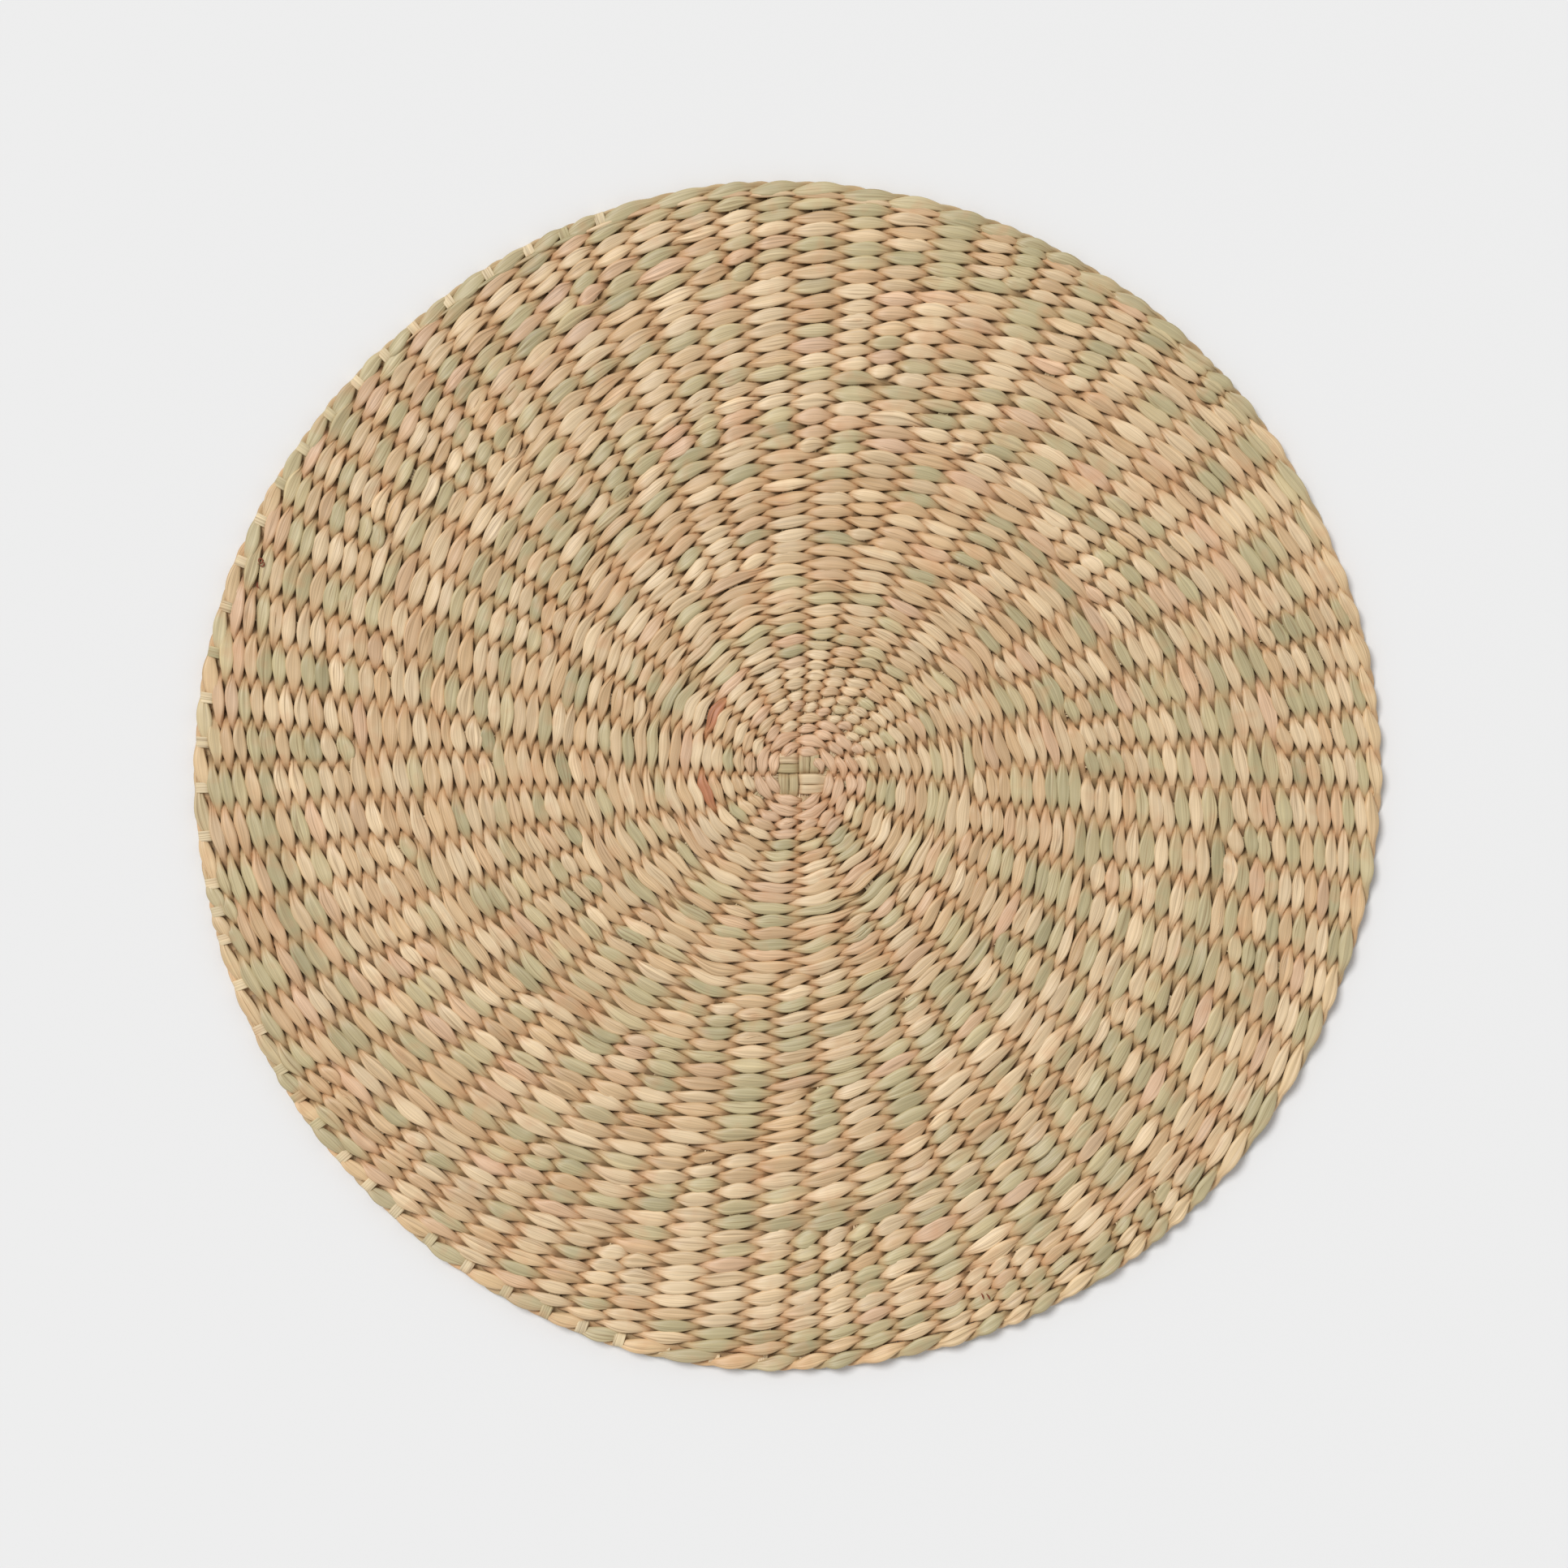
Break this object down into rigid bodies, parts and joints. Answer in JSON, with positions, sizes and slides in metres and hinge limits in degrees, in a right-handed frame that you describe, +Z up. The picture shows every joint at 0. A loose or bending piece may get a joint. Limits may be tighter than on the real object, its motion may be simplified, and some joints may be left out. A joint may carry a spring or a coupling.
{
  "type": "round woven chair seat pad",
  "caption": "Round flat seat mat of twined seagrass leaf: spiral rounds of paired strands over radiating spokes, with a bundled, folded rim.",
  "frame": {"origin": "on the surface the mat lies on, under the middle of its round outline", "axes": "+Z up out of the top face; +Y towards the top of the mat as seen from above and +X to its right, the sides the crossed bundles are named for"},
  "size_m": [0.38, 0.38, 0.0056],
  "materials": {
    "weft_leaf_tan": "matte",
    "weft_leaf_green": "matte",
    "spoke_leaf": "matte",
    "rim_leaf": "matte"
  },
  "bodies": {
    "root": {"cross_bundle_north": "spoke_leaf", "cross_bundle_south": "spoke_leaf", "cross_bundle_east": "spoke_leaf", "cross_bundle_west": "spoke_leaf", "spokes_added_inner": "spoke_leaf", "spokes_added_middle": "spoke_leaf", "spokes_added_outer": "spoke_leaf", "rim_leaf_lower": "rim_leaf", "rim_leaf_middle": "rim_leaf", "rim_leaf_upper": "rim_leaf", "weft_round_01": "weft_leaf_tan", "weft_round_02": "weft_leaf_green", "weft_round_03": "weft_leaf_tan", "weft_round_04": "weft_leaf_tan", "weft_round_05": "weft_leaf_green", "weft_round_06": "weft_leaf_tan", "weft_round_07": "weft_leaf_tan", "weft_round_08": "weft_leaf_green", "weft_round_09": "weft_leaf_tan", "weft_round_10": "weft_leaf_tan", "weft_round_11": "weft_leaf_green", "weft_round_12": "weft_leaf_tan", "weft_round_13": "weft_leaf_tan", "weft_round_14": "weft_leaf_green", "weft_round_15": "weft_leaf_tan", "weft_round_16": "weft_leaf_tan", "weft_round_17": "weft_leaf_green", "weft_round_18": "weft_leaf_tan", "weft_round_19": "weft_leaf_tan", "weft_round_20": "weft_leaf_green", "weft_round_21": "weft_leaf_tan", "weft_round_22": "weft_leaf_tan", "weft_round_23": "weft_leaf_green", "weft_round_24": "weft_leaf_tan", "weft_round_25": "weft_leaf_tan", "weft_round_26": "weft_leaf_green", "weft_round_27": "weft_leaf_tan", "weft_round_28": "weft_leaf_tan", "weft_round_29": "weft_leaf_green", "weft_round_30": "weft_leaf_tan", "weft_round_31": "weft_leaf_tan", "weft_round_32": "weft_leaf_green", "weft_round_33": "weft_leaf_tan", "weft_round_34": "weft_leaf_tan", "weft_round_35": "weft_leaf_green", "weft_round_36": "weft_leaf_tan", "weft_round_37": "weft_leaf_tan", "weft_round_38": "weft_leaf_green", "weft_round_39": "weft_leaf_tan", "weft_round_40": "weft_leaf_tan", "weft_round_41": "weft_leaf_green", "weft_round_42": "weft_leaf_tan", "weft_round_43": "weft_leaf_tan", "weft_round_44": "weft_leaf_green"}
  },
  "joints": []
}
